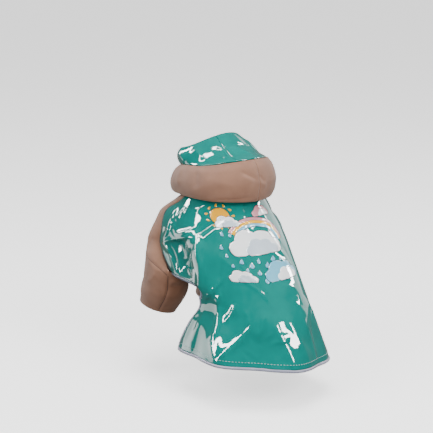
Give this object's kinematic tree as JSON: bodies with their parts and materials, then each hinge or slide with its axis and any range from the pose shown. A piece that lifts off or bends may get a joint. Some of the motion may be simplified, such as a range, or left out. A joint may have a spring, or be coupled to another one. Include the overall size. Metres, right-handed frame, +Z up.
{
  "type": "dog raincoat",
  "caption": "Hollow raincoat for a small dog in a sitting pose: glossy flared back panel, matte raglan sleeves, turned down hood with a wide folded brim.",
  "frame": {"origin": "middle of the neck seam, where the wearer's neck holds the coat", "axes": "+Z up, +Y the way the wearer faces, -X the wearer's left"},
  "size_m": [0.1547, 0.2278, 0.2503],
  "materials": {
    "teal_shell": "clear gloss film over cloth",
    "taupe_softshell": "matte close-woven softshell",
    "grey_tape": "satin reflective tape",
    "slate_tape": "matte binding tape"
  },
  "bodies": {
    "root": {"back_panel": "teal_shell", "chest_panel": "teal_shell", "sleeve_left": "taupe_softshell", "sleeve_right": "taupe_softshell", "hood_middle": "teal_shell", "hood_left": "teal_shell", "hood_right": "teal_shell", "brim_left": "taupe_softshell", "brim_right": "taupe_softshell", "belly_binding_left": "slate_tape", "belly_binding_right": "slate_tape", "skirt_binding": "grey_tape"}
  },
  "joints": []
}
